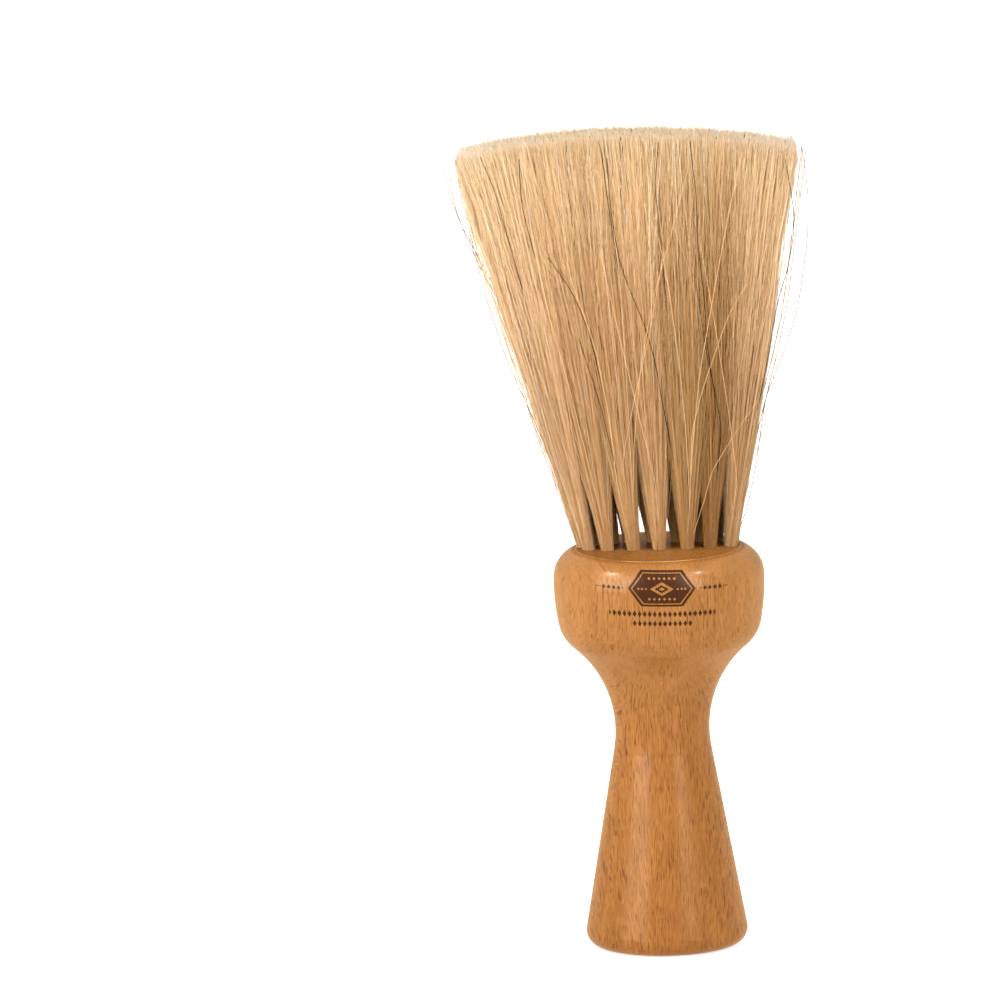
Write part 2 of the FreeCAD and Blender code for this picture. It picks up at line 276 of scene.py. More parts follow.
def ornament(graph, place, x, y, z):
    """Mask of the print on the front of the head. Shapes are mirrored about its middle;
    across and above place them from that middle."""
    out = graph.distance(x, PRINT_X)
    rise = graph.times_plus(x, PRINT_TILT, graph.plus(z, -PRINT_Z))
    off = graph.absolute(rise)

    def inside(measure, edge=1.0, soft=0.010):
        return graph.remap(measure, (edge - soft, edge + soft), to=(1.0, 0.0))

    def lozenge(half_width, half_height):
        return inside(graph.plus(graph.over(out, half_width), graph.over(off, half_height)))

    def hexagon(half_width, half_height):
        """A long six-sided plate with pointed ends."""
        slant = graph.plus(graph.over(out, half_width), graph.over(off, half_height * 2.6))
        return inside(graph.math("MAXIMUM", graph.over(off, half_height), slant))

    def bar(across, half_width, half_height):
        return graph.times(inside(graph.distance(out, across), half_width, soft=0.05),
                           inside(graph.distance(rise, 0.0), half_height, soft=0.04))

    def dot(across, radius):
        sideways = graph.times(graph.distance(out, across), 1.0)
        return inside(graph.plus(sideways, graph.distance(rise, 0.0)), radius, soft=0.05)

    def beads(half_length, half_height, across=0.0, above=0.0, fill=0.40):
        """A row of small diamonds; fill is a diamond's half width over the pitch."""
        shifted = graph.plus(out, 50.0 * BEAD_PITCH)
        cell = graph.math("SUBTRACT", graph.math("FRACT", graph.over(shifted, BEAD_PITCH)), 0.5)
        diamond = graph.plus(graph.over(graph.absolute(cell), fill),
                             graph.over(graph.distance(rise, above), half_height))
        within = graph.math("LESS_THAN", graph.distance(out, across), half_length)
        return graph.times(inside(diamond, soft=0.08), within)

    def cut(shape, hole):
        return graph.math("SUBTRACT", shape, hole, clamp=True)

    plate = hexagon(half_width=9.4, half_height=4.9)
    outline = graph.math("SUBTRACT", hexagon(half_width=8.55, half_height=4.30),
                         hexagon(half_width=8.20, half_height=4.05))
    gem_ring = cut(lozenge(half_width=3.3, half_height=1.9),
                   lozenge(half_width=2.0, half_height=1.1))
    gem = graph.math("MAXIMUM", gem_ring, lozenge(half_width=0.9, half_height=0.5))
    ink = cut(cut(plate, outline), gem)
    for across in (4.4, 5.5, 6.5):
        ink = cut(ink, dot(across, radius=0.38))
    for above in (2.8, -2.8):
        ink = cut(ink, beads(half_length=4.2, half_height=0.42, above=above, fill=0.32))
    for shape in (
        beads(half_length=2.8, half_height=0.62, across=14.4),
        beads(half_length=14.7, half_height=0.95, above=-7.1),
        beads(half_length=8.4, half_height=0.90, above=-9.8),
        bar(across=10.9, half_width=0.3, half_height=0.12),
        bar(across=17.9, half_width=0.4, half_height=0.12),
    ):
        ink = graph.math("MAXIMUM", ink, shape)
    worn = graph.noise(place, scale=5200.0, detail=2.0)
    return graph.times(ink, graph.math("LESS_THAN", y, 0.0),
                       graph.remap(worn, (0.22, 0.40), to=(0.80, 0.97)))


def beech_material():
    graph = material_graph("lacquered_beech")
    coordinates = graph.node("TexCoord").outputs
    place = coordinates["Object"]
    x, y, z = (graph.times(metres, 1000.0) for metres in graph.split(place))
    grain = beech_grain(graph, x, y, z, coordinates["Normal"])
    base = wood_colour(graph, grain, z)
    # the tuft face takes up more of the lacquer, so it is duller; its colour is also darkened as
    # painted shade under the hair
    face = graph.remap(z, (HANDLE_TOP - 1.0, HANDLE_TOP - 0.35))
    base = graph.mix(face, base, (0.77, 0.73, 0.65), "MULTIPLY")
    base = painted_edge_highlight(graph, base, place, x, y, z)
    ink = ornament(graph, place, x, y, z)
    gloss = graph.times_plus(ink, -0.6, 1.0)      # ink is duller than lacquer

    # grain telegraphs a little through the lacquer
    relief = graph.plus(graph.times(grain["dash"], -1.0), graph.times(grain["fibre"], 0.5))
    peel = graph.times_plus(grain["dash"], -0.25, graph.noise(place, scale=420.0, detail=2.0))
    return graph.finish(graph.shader(
        "BsdfPrincipled",
        Base_Color=graph.mix(ink, base, srgb(46, 22, 12)),
        Roughness=graph.remap(grain["fibre"], (0.3, 0.7), to=(0.24, 0.34)),
        Specular_IOR_Level=graph.times(gloss, graph.remap(face, (0.0, 1.0), to=(0.52, 0.015))),
        Specular_Tint=(1.0, 0.66, 0.40),
        Coat_Weight=graph.times(gloss, graph.remap(face, (0.0, 1.0), to=(0.26, 0.0))),
        Coat_Roughness=0.18,
        Coat_IOR=1.45,
        Normal=graph.bump(relief, strength=0.10, distance=0.00010),
        Coat_Normal=graph.bump(peel, strength=0.05, distance=0.00012)))


# ------------------------------------------------------------- anchor wire
def wire_material():
    graph = material_graph("anchor_wire")
    grain = graph.noise(graph.node("TexCoord").outputs["Object"], scale=9000.0, detail=2.0)
    return graph.finish(graph.shader(
        "BsdfPrincipled",
        Base_Color=graph.mix(grain, (0.52, 0.36, 0.14), (0.70, 0.52, 0.24)),
        Metallic=1.0,
        Roughness=graph.remap(grain, (0.3, 0.7), to=(0.28, 0.5))))


# ----------------------------------------------------------- hair material
def hair_material():
    graph = material_graph("horsehair")
    strand_colour = graph.node("Attribute", attribute_name="hair_col").outputs["Color"]
    metres = graph.split(graph.node("TexCoord").outputs["Object"])
    mottled = graph.streaks(metres, frequency=(2600.0, 2600.0, 140.0), detail=2.0)
    x, y, z = (graph.times(value, 1000.0) for value in metres)

    # depth below the cut, which is the surface of cut_height()
    off = graph.plus(x, -MID_X)
    cut = graph.times_plus(graph.times(off, off), -CUT_CURVE, CROWN_Z)
    cut = graph.times_plus(y, -CUT_SLOPE, cut)
    depth = graph.math("SUBTRACT", cut, z)
    # painted shade: strands are darkened just below the cut, the inner ones down to 8 mm, against
    # the light their ends catch from above
    tips = graph.remap(depth, (2.5, 8.0), to=(1.0, 0.0))
    inner = graph.remap(graph.absolute(y), (9.5, 13.5), to=(1.0, 0.0))
    ends = graph.remap(depth, (0.6, 3.4), to=(1.0, 0.0))
    painted_end_shade = graph.mix(ends, (1.0, 1.0, 1.0), (0.94, 0.92, 0.98))
    painted_end_shade = graph.tint(painted_end_shade, tips, strength=inner, colour=(0.85, 0.88, 1.0))
    tinted = graph.mix(1.0, strand_colour, painted_end_shade, "MULTIPLY")
    tone = graph.remap(mottled, (0.3, 0.7), to=(0.94, 1.05))
    colour = graph.node("VectorMath", {0: tinted, "Scale": tone}, operation="SCALE").outputs[0]

    surface = graph.shader(
        "BsdfPrincipled", Base_Color=colour, Specular_IOR_Level=0.28,
        Roughness=graph.remap(mottled, (0.3, 0.7), to=(0.42, 0.56)))
    hair = graph.mix_shader(0.42, surface, graph.shader("BsdfTranslucent", Color=colour))
    # horsehair lets light through, so its shadows are light and warm
    shadow_ray = graph.node("LightPath").outputs["Is Shadow Ray"]
    clear = graph.shader("BsdfTransparent", Color=(1.0, 0.88, 0.72))
    return graph.finish(graph.mix_shader(graph.times(shadow_ray, 0.70), hair, clear))


# ----------------------------------------------------------- strand meshes
def read_values(items, field, width):
    values = np.zeros(len(items) * width)
    items.foreach_get(field, values)
    return values.reshape(-1, width)


def read_tuft(node):
    """Root centre, tip centre, tip half widths and root radius of a CAD tuft,
    in mm. Its flat ends stand square to its axis."""
    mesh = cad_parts[node].data
    points = read_values(mesh.vertices, "co", 3) / MM
    normal = read_values(mesh.polygons, "normal", 3)
    centre = read_values(mesh.polygons, "center", 3) / MM
    area = read_values(mesh.polygons, "area", 1)
    cap = (centre[:, 2] > points[:, 2].max() - 3.5) & (normal[:, 2] > 0.93)
    axis = (normal[cap] * area[cap]).sum(0)
    axis /= np.linalg.norm(axis)
    station = points @ axis
    tip = points[station > station.max() - 0.08]
    root = points[station < station.min() + 0.08]
    return ((root.max(0) + root.min(0)) / 2, (tip.max(0) + tip.min(0)) / 2,
            (tip.max(0) - tip.min(0)) / 2, (root.max(0) - root.min(0))[1] / 2)


def unit(vectors):
    return vectors / (np.linalg.norm(vectors, axis=2, keepdims=True) + 1e-12)


def tube_arrays(paths, radii, colours, spin):
    """Three-sided closed strands as arrays. paths: strands x points x 3 (mm),
    radii: strands x points, colours: strands x points x 3."""
    strands, points, _ = paths.shape
    tangent = unit(np.gradient(paths, axis=1))
    start = np.stack([np.cos(spin), np.sin(spin), np.zeros_like(spin)], 1)[:, None, :]
    side = unit(start - (start * tangent).sum(2, keepdims=True) * tangent)
    other = np.cross(tangent, side)
    verts = np.empty((strands, points, 3, 3))
    for k in range(3):
        angle = 2 * math.pi * k / 3
        offset = math.cos(angle) * side + math.sin(angle) * other
        verts[:, :, k] = paths + radii[:, :, None] * offset
    first = (np.arange(strands) * points * 3)[:, None]
    low = first[:, :, None] + (np.arange(points - 1) * 3)[None, :, None]
    corner = np.arange(3)[None, None, :]
    following = (corner + 1) % 3
    quads = np.stack([low + corner, low + following,
                      low + 3 + following, low + 3 + corner], -1).reshape(-1, 4)
    last = first + (points - 1) * 3
    caps = np.concatenate([np.concatenate([first + 2, first + 1, first], 1),
                           np.concatenate([last, last + 1, last + 2], 1)], 0)
    return verts.reshape(-1, 3) * MM, quads, caps, np.repeat(colours.reshape(-1, 3), 3, axis=0)


def strand_mesh(name, groups, material):
    """One object from several groups of strands."""
    parts, count = [], 0
    for group in groups:
        verts, quads, caps, colours = tube_arrays(*group)
        parts.append((verts, quads + count, caps + count, colours))
        count += len(verts)
    verts, quads, caps, colours = (np.concatenate(part) for part in zip(*parts))
    mesh = bpy.data.meshes.new(name)
    mesh.vertices.add(len(verts))
    mesh.vertices.foreach_set("co", verts.astype(np.float32).ravel())
    loops = np.concatenate([quads.ravel(), caps.ravel()]).astype(np.int32)
    mesh.loops.add(len(loops))
    mesh.loops.foreach_set("vertex_index", loops)
    starts = np.concatenate([np.arange(len(quads)) * 4,
                             len(quads) * 4 + np.arange(len(caps)) * 3]).astype(np.int32)
    mesh.polygons.add(len(starts))
    mesh.polygons.foreach_set("loop_start", starts)
    smooth = np.concatenate([np.ones(len(quads), bool), np.zeros(len(caps), bool)])
    mesh.polygons.foreach_set("use_smooth", smooth)
    mesh.update(calc_edges=True)
    mesh.validate()
    rgba = np.ones((len(verts), 4), np.float32)
    rgba[:, :3] = colours
    mesh.attributes.new("hair_col", "FLOAT_COLOR", "POINT").data.foreach_set("color", rgba.ravel())
    mesh.materials.append(material)
    strands = bpy.data.objects.new(name, mesh)
    scene.collection.objects.link(strands)
    return strands


# -------------------------------------------------------------- hair tables
STRANDS = 1900          # in each tuft
POINTS = 11             # along a strand, above the tuft face
LOCKS = 30              # bundles of strands that lie together
SINK = 4.0              # depth of the strands' feet below the tuft face
HOLE_FILL = 0.95        # part of the hole's radius that the strands fill
TURN = 6.28             # about a full turn, for random angles
SINGLE_POINTS = 34      # along a single hair
SMOOTH_REACH = 9        # samples to each side in the smoothing of a single hair

# Edges of the fan seen from the front: height, x on the left, x on the right
FAN = np.array([
    (112.0, -23.2, 22.6), (119.5, -24.2, 23.1), (125.5, -25.3, 24.1),
    (137.0, -28.1, 26.3), (148.0, -31.5, 28.1), (159.5, -34.0, 29.8),
    (171.0, -37.4, 31.6), (182.5, -40.7, 32.9), (188.8, -42.7, 33.5),
    (198.0, -44.8, 34.4), (205.0, -46.6, 35.7), (211.5, -47.8, 37.4),
    (217.6, -49.6, 38.8), (224.5, -52.1, 39.7), (232.0, -53.8, 40.1)])

# Single hairs: tuft, kind, points (x, y, z) from low to high
SINGLES = (
    ("front_06", "dark", ((16.9, -10.6, 155.4), (14.8, -11.6, 171.1), (14.3, -12.5, 185.3),
                          (12.7, -13.6, 202.4), (12.9, -14.1, 210.3), (12.7, -14.5, 215.1),
                          (11.6, -15.1, 225.1), (11.4, -15.5, 229.5))),
    ("front_05", "dark", ((2.0, -10.6, 155.8), (0.3, -11.3, 167.2), (-2.2, -12.0, 177.2),
                          (-5.6, -12.5, 185.8), (-9.0, -13.2, 195.8), (-11.1, -14.2, 211.5),
                          (-11.6, -15.1, 225.1))),
    ("front_03", "dark", ((-16.5, -11.5, 170.5), (-18.8, -12.1, 179.0), (-22.7, -12.7, 188.5),
                          (-25.1, -12.9, 192.0), (-28.6, -13.3, 197.4))),
    ("front_01", "dark", ((-41.0, -14.0, 208.8), (-42.8, -14.5, 216.5), (-45.3, -15.0, 223.0),
                          (-46.6, -15.2, 226.4))),
    ("front_03", "dark", ((-13.0, -10.0, 144.7), (-14.7, -10.6, 153.3), (-17.3, -11.0, 162.5),
                          (-22.0, -9.0, 178.0))),
    ("front_02", "dark", ((-35.6, -13.0, 212.0), (-35.8, -14.9, 219.7), (-35.9, -15.1, 225.4))),
    ("front_04", "dark", ((-12.1, -14.6, 215.7), (-12.8, -15.2, 224.2), (-13.6, -15.4, 229.3))),
    ("front_05", "dark", ((2.1, -14.2, 209.7), (1.2, -14.7, 216.8), (2.1, -15.1, 223.3),
                          (2.6, -14.0, 229.0))),
    ("front_06", "dark", ((18.4, -10.1, 146.8), (17.0, -10.8, 156.8), (14.5, -11.6, 169.7),
                          (12.0, -9.0, 190.0))),
    ("end_right", "dark", ((31.1, -11.5, 164.8), (32.9, -12.4, 174.7), (34.8, -12.8, 184.5),
                           (37.4, -12.4, 191.4), (39.7, -11.5, 202.6), (39.6, -11.4, 209.7),
                           (37.6, -11.6, 223.2))),
    ("end_left", "tan", ((-41.1, -2.0, 175.0), (-45.2, -2.6, 187.8), (-51.0, -2.0, 200.5),
                         (-54.4, -1.2, 210.5), (-55.4, -1.0, 219.7))),
    ("end_left", "tan", ((-26.1, -3.0, 130.9), (-34.2, -3.4, 150.9), (-40.8, -3.0, 166.5),
                         (-45.9, -2.6, 183.6), (-48.9, -2.2, 196.3), (-52.2, -2.0, 207.6))),
    ("end_left", "tan", ((-42.3, 1.0, 183.5), (-47.6, 1.6, 194.3), (-53.4, 1.8, 205.7),
                         (-57.2, 2.0, 219.8))),
    ("end_left", "tan", ((-39.2, -1.0, 172.1), (-45.0, 0.0, 186.3), (-49.7, 1.0, 199.1),
                         (-52.4, 1.6, 211.8), (-53.8, 2.0, 223.1))),
    ("end_left", "tan", ((-36.0, 2.0, 163.0), (-42.6, 3.0, 181.0), (-48.2, 4.0, 195.1),
                         (-51.0, 5.0, 208.8), (-53.2, 6.0, 222.1))),
    ("end_right", "tan", ((24.9, -2.0, 122.6), (28.0, -2.6, 136.7), (30.8, -3.0, 155.0),
                          (35.3, -3.0, 164.7), (40.2, -2.4, 178.7), (43.4, -2.0, 198.3),
                          (43.9, -2.0, 210.9), (42.4, -2.0, 224.4))),
    ("end_right", "tan", ((34.5, -2.0, 167.6), (37.6, -2.0, 181.6), (39.8, -2.0, 198.4),
                          (42.1, -2.0, 213.8), (43.4, -2.0, 223.6))),
    ("end_right", "tan", ((35.8, 4.0, 176.0), (38.4, 5.0, 192.8), (40.6, 5.0, 209.6),
                          (42.6, 4.0, 225.4))),
    ("front_05", "pale", ((10.1, -11.0, 147.1), (13.1, -12.0, 158.4), (17.6, -12.9, 171.1),
                          (21.4, -13.6, 181.0), (26.3, -14.2, 188.8))),
    ("front_05", "pale", ((13.0, -9.9, 127.1), (15.4, -10.6, 135.6), (22.0, -11.4, 146.3),
                          (28.3, -11.8, 155.2))),
    ("front_05", "pale", ((9.1, -9.9, 127.2), (8.4, -11.3, 147.2), (7.2, -12.4, 164.3),
                          (4.9, -13.8, 185.7), (2.5, -14.8, 201.3), (-2.8, -15.4, 214.2),
                          (-6.1, -16.0, 227.0))),
    ("front_03", "pale", ((-11.0, -10.2, 131.9), (-12.6, -11.6, 150.5), (-16.2, -13.0, 172.0),
                          (-22.7, -14.3, 192.0), (-24.5, -15.3, 207.6), (-26.9, -16.0, 223.2))),
    ("front_03", "pale", ((-6.0, -11.2, 144.7), (-3.9, -12.6, 164.5), (-0.1, -13.8, 184.4),
                          (5.8, -15.0, 204.1), (10.7, -16.0, 222.3))),
    ("front_05", "pale", ((10.0, -11.0, 141.4), (12.7, -12.5, 164.2), (17.1, -14.0, 186.8),
                          (21.4, -15.2, 207.9), (25.7, -16.2, 226.2))),
    ("front_04", "pale", ((-0.5, -10.5, 133.1), (-4.2, -11.7, 150.3), (-9.7, -13.4, 176.1),
                          (-14.2, -14.8, 198.9))),
    ("front_02", "pale", ((-18.4, -10.5, 136.4), (-23.4, -12.1, 159.3), (-29.0, -13.6, 182.2),
                          (-33.1, -15.1, 205.0), (-35.6, -16.2, 226.8))),
    ("front_07", "pale", ((22.3, -10.3, 132.6), (20.7, -11.5, 149.7), (17.4, -13.3, 175.4),
                          (13.5, -14.8, 201.0))),
    ("front_03", "pale", ((-9.5, -10.8, 139.0), (-5.8, -12.1, 156.1), (-0.9, -13.4, 175.9),
                          (3.5, -14.8, 198.5))),
    ("back_02", "pale", ((-19.0, 11.0, 140.0), (-24.0, 13.0, 165.0), (-22.0, 15.4, 195.0),
                         (-17.0, 16.6, 222.0))),
    ("back_05", "dark", ((6.0, 11.5, 150.0), (4.0, 13.6, 175.0), (7.0, 15.6, 200.0),
                         (5.0, 16.4, 224.0))),
    ("back_06", "pale", ((10.0, 11.0, 140.0), (3.0, 13.6, 168.0), (-4.0, 15.4, 196.0),
                         (-12.0, 16.4, 220.0))),
)

# Painted light and shade on each tuft: darker where its part of the fan lies in shade, lighter
# where it is lit
PAINTED_TUFT_SHADE = {"front_06": 0.66, "front_05": 0.84, "back_05": 0.80, "back_06": 0.80,
         "front_07": 0.99, "end_left": 1.06, "front_01": 1.03, "front_02": 1.03,
         "end_right": 1.08, "front_04": 1.02}

# Thin at the ends of the fan, where light comes through and the hair looks pale
PALER = {"end_left": 0.50, "end_right": 0.50, "front_01": 0.30, "back_01": 0.30,
         "front_07": 0.26, "back_07": 0.30}

# Partings through the fan: x, z, slope, reach across, reach up, push
PARTINGS = ((-46.9, 205.0, -0.30, 1.6, 7.0, 1.7), (40.4, 214.0, 0.12, 1.1, 9.0, 1.0),
            (-49.5, 213.0, -0.34, 0.9, 5.0, 0.5), (42.0, 219.0, 0.10, 0.7, 7.0, 0.5))

BLOND = np.array(srgb(237, 200, 149))
BROWN = np.array(srgb(184, 134, 82))
DARK = np.array(srgb(52, 32, 20))
PALE = np.array(srgb(253, 236, 206))
LIGHT = np.array(srgb(246, 214, 166))
TAN = np.array(srgb(166, 120, 78))

# Radius and colour of each kind of single hair
SINGLE_KINDS = {"dark": (0.140, DARK * 0.8), "pale": (0.088, LIGHT), "tan": (0.135, TAN)}

# Tint along a strand, with painted shade toward the root and painted light toward the tip: place
# from root to tip, then red, green and blue factors
STRAND_TINT_AND_LIGHT = np.array([
    (0.00, 0.770, 0.700, 0.590), (0.05, 0.840, 0.780, 0.670), (0.15, 0.830, 0.805, 0.735),
    (0.32, 0.785, 0.770, 0.715), (0.60, 0.815, 0.820, 0.795), (0.78, 0.900, 0.990, 1.070),
    (0.90, 0.950, 1.090, 1.260), (1.00, 0.970, 1.120, 1.310)])


# ------------------------------------------------------------- hair shaping
def bell(rng, *shape):
    return rng.standard_normal(shape)


def disc(rng, count):
    """Random places in a round hole of radius 1, clear of its rim."""
    radius = np.sqrt(rng.random(count)) * HOLE_FILL
    angle = rng.random(count) * 2 * math.pi
    return np.stack([radius * np.cos(angle), radius * np.sin(angle)], 1)


def cut_height(x, y):
    return CROWN_Z - CUT_CURVE * (x - MID_X) ** 2 - CUT_SLOPE * y


def fan_edges(z):
    return np.interp(z, FAN[:, 0], FAN[:, 1]), np.interp(z, FAN[:, 0], FAN[:, 2])


def spread_strands(rng, root, tip, tip_half, root_radius, along):
    """Strands in plan as they fan out from the round hole. Gives their x and y,
    their places in the hole and the shade of each one's lock."""
    hole = disc(rng, STRANDS)
    lock_hole = disc(rng, LOCKS)
    lock = ((hole[:, None] - lock_hole[None]) ** 2).sum(2).argmin(1)
    lock_bend = bell(rng, LOCKS, 2) * np.array([3.5, 1.5])
    lock_bow = bell(rng, LOCKS, 2) * np.array([0.7, 0.5])
    lock_shade = np.exp(0.045 * bell(rng, LOCKS))
    # place among the tips: the same order on a squarer patch, a little shuffled
    far = np.maximum(np.abs(hole[:, 0]), np.abs(hole[:, 1])) + 1e-6
    square = hole * (np.linalg.norm(hole, axis=1) / far)[:, None]
    fresh = rng.uniform(-1.0, 1.0, (STRANDS, 2))
    patch = 0.58 * (0.2 * hole + 0.8 * square) + 0.42 * fresh
    patch = patch + 0.12 * (lock_hole[lock] - hole) + 0.14 * bell(rng, STRANDS, 2)

    shuffle = (1 - (1 - along) ** 1.6)[None, :, None]
    place = hole[:, None] * (1 - shuffle) + patch[:, None] * shuffle
    wide = np.array([tip_half[0] * 1.34, tip_half[1] * 1.12])
    opening = 1 - (1 - along ** 1.25) ** 2.3
    spread = root_radius * 1.01 + (wide[None] - root_radius * 1.01) * opening[:, None]
    centre = root[:2] + (tip[:2] - root[:2]) * (along ** 1.04)[:, None]
    xy = centre[None] + place * spread[None]
    # bend, bow and wave, of the locks and of each strand
    bow = np.sin(math.pi * along)[None, :, None]
    bend = (along ** 1.7)[None, :, None]
    xy += lock_bend[lock][:, None] * bend + lock_bow[lock][:, None] * bow
    xy += ((bell(rng, STRANDS, 2) * 0.75)[:, None] * bow
           + (bell(rng, STRANDS, 2) * 1.1)[:, None] * bend)
    wave = bell(rng, STRANDS, 2) * 0.30
    phase = rng.random((STRANDS, 1)) * TURN
    ripple = np.sin(2.6 * math.pi * along[None] + phase)
    xy += wave[:, None] * ripple[:, :, None] * bend ** 0.5
    return xy, hole, lock_shade[lock]


def add_strays(rng, xy, along, tip_y):
    """Some strands wander across their neighbours, drawn to the outside of the fan."""
    stray = rng.random(STRANDS) < 0.32
    count = stray.sum()
    side = np.sign(tip_y) * np.ones(count) if abs(tip_y) > 4 else np.sign(bell(rng, count))
    drift = bell(rng, count, 1) * (2.5 + 6.5 * rng.random((count, 1)))
    power = 1.2 + 1.6 * rng.random((count, 1))
    xy[stray, :, 0] += drift * along[None] ** power
    outside = side[:, None] * np.interp(along, [0, 0.15, 1], [3.0, 8.5, 15.0])[None]
    pull = 0.35 + 0.6 * rng.random((count, 1))
    pull = pull * np.interp(along, [0, 0.2, 0.5], [0, 0.4, 1.0])[None]
    xy[stray, :, 1] += (outside - xy[stray, :, 1]) * pull


def cut_strands(rng, xy, along):
    """Heights along the strands; a few stand above the cut or stop short of it."""
    top = cut_height(xy[:, -1, 0], xy[:, -1, 1]) + 0.55 * bell(rng, STRANDS)
    top -= np.abs(bell(rng, STRANDS)) * 0.5
    tall = rng.random(STRANDS) < 0.03
    top[tall] += 0.4 + 1.0 * rng.random(tall.sum())
    short = rng.random(STRANDS) < 0.08
    top[short] -= 2 + 24 * rng.random(short.sum()) ** 2
    return FACE_Z + (top - FACE_Z)[:, None] * along[None]


def keep_in_fan(rng, x, z, along):
    """Draw strands in to a ragged edge of the fan; a few are left to stand out."""
    ragged = 0.7 - 1.3 * rng.standard_exponential((STRANDS, 2))
    free = rng.random((STRANDS, 2)) < 0.05
    ragged[free] = 0.6 + 4.2 * rng.random(free.sum()) ** 1.5
    growth = np.interp(along, [0, 0.12, 0.5, 0.85, 1], [0.1, 0.5, 1.0, 0.9, 0.5])[None]
    left, right = fan_edges(z)
    left = left - ragged[:, :1] * growth
    right = right + ragged[:, 1:] * growth
    slack = 0.12
    x = np.where(x < left, left + (x - left) * slack, x)
    return np.where(x > right, right + (x - right) * slack, x)


def part_fan(rng, x, z):
    """The fan parts a little near its corners."""
    for part_x, part_z, slope, reach_x, reach_z, push in PARTINGS:
        off = x - (part_x + slope * (z - part_z)) + 0.10 * bell(rng, STRANDS)[:, None]
        x = x + (push * np.tanh(off / 0.2) * np.exp(-(off / reach_x) ** 2)
                 * np.exp(-((z - part_z) / reach_z) ** 2))
    return x


def strand_colours(rng, along):
    """Linear colour of each strand along its length, and which strands are dark."""
    tone = np.exp(-0.05 * np.abs(bell(rng, STRANDS)))[:, None]
    warm = 0.024 * bell(rng, STRANDS)[:, None]
    colour = BLOND[None] * tone * np.concatenate(
        [1 + 0.4 * warm, 1 - 0.2 * warm, 1 - 1.6 * warm], 1)
    kind = rng.random(STRANDS)
    brown, dark, pale = kind < 0.028, kind < 0.003, kind > 0.94
    colour[brown] = BROWN * (0.80 + 0.5 * rng.random((brown.sum(), 1)))
    colour[dark] = DARK * (0.6 + 0.8 * rng.random((dark.sum(), 1)))
    colour[pale] = PALE * (0.92 + 0.12 * rng.random((pale.sum(), 1)))
    # the tint along the strand also paints shade toward the root and light toward the tip
    tint = np.stack([np.interp(along, STRAND_TINT_AND_LIGHT[:, 0], STRAND_TINT_AND_LIGHT[:, channel])
                     for channel in (1, 2, 3)], 1)
    return colour[:, None, :] * tint[None, :, :], dark


def paint_tuft_light(colours, dark, loose, name, lock_shade, along):
    """Paint each tuft's light and shade, and its paleness where light comes through, into its
    strands' colours, in place.
    """
    paleness = PALER.get(name, 0.0) * np.interp(along, [0.0, 0.3, 0.8], [0.35, 0.45, 1.0])
    colours[~dark] += (PALE * 0.95 - colours[~dark]) * paleness[None, :, None]
    # the painted shade of the tufts fades toward the tips
    shade = PAINTED_TUFT_SHADE.get(name, 1.0)
    lift = np.interp(along, [0.0, 0.5, 0.88, 1.0], [0.0, 0.10, 0.40, 0.95])
    depth = (shade + (1.0 - shade) * lift)[None, :] * lock_shade[:, None]
    colours *= depth[:, :, None] ** np.array([0.9, 1.3, 2.1])
    colours *= np.minimum(1.0, 0.95 / colours.max(2, keepdims=True))
    colours[loose & ~dark] *= np.array([0.92, 0.89, 0.86])


def smoothed(values):
    """Running average that carries both ends on as they were."""
    kernel = np.hanning(2 * SMOOTH_REACH + 1)
    kernel /= kernel.sum()
    before = values[0] + (values[0] - values[SMOOTH_REACH:0:-1])
    after = values[-1] + (values[-1] - values[-2:-2 - SMOOTH_REACH:-1])
    return np.convolve(np.concatenate([before, values, after]), kernel, "valid")


def smooth_path(points, count, samples=160):
    """A smooth curve through points, low to high, with count points."""
    points = np.array(points, float)
    z = np.linspace(points[0, 2], points[-1, 2], samples)
    x, y = (smoothed(np.interp(z, points[:, 2], points[:, k])) for k in range(2))
    place = np.linspace(0, samples - 1, count)
    return np.stack([np.interp(place, np.arange(samples), v) for v in (x, y, z)], 1)


def single_hair(rng, kind, points, root, foot):
    """A strand group of one hair, from its foot in the hole through its points."""
    start = root[:2] + bell(rng, 2) * 0.5
    controls = [(foot[0], foot[1], FACE_Z - SINK), (start[0], start[1], FACE_Z)]
    first_x, first_y, first_z = points[0]
    gap = first_z - FACE_Z
    if gap > 24:
        # one more point part of the way up a long gap
        part = 0.45
        pull_y = 0.45 if kind == "dark" else 0.8
        controls.append((start[0] + (first_x - start[0]) * part ** 1.1,
                         start[1] + (first_y - start[1]) * part * pull_y,
                         FACE_Z + gap * part))
    # hairs at the front and back stand a little clear of the fan
    sway = -1.0 if first_y < -8 else (1.0 if first_y > 8 else 0.0)
    controls += [(x, y + sway * (0.6 + 1.9 * (z - FACE_Z) / 115), z) for x, y, z in points]
    path = smooth_path(controls, SINGLE_POINTS)[None]
    radius, tint = SINGLE_KINDS[kind]
    radii = np.full((1, SINGLE_POINTS), radius) * np.linspace(1.0, 0.75, SINGLE_POINTS)[None]
    colours = tint[None, None] * np.ones((1, SINGLE_POINTS, 1))
    if kind == "pale":
        colours = colours * np.linspace(0.84, 1.0, SINGLE_POINTS)[None, :, None]
    return path, radii, colours, np.array([rng.random() * TURN])


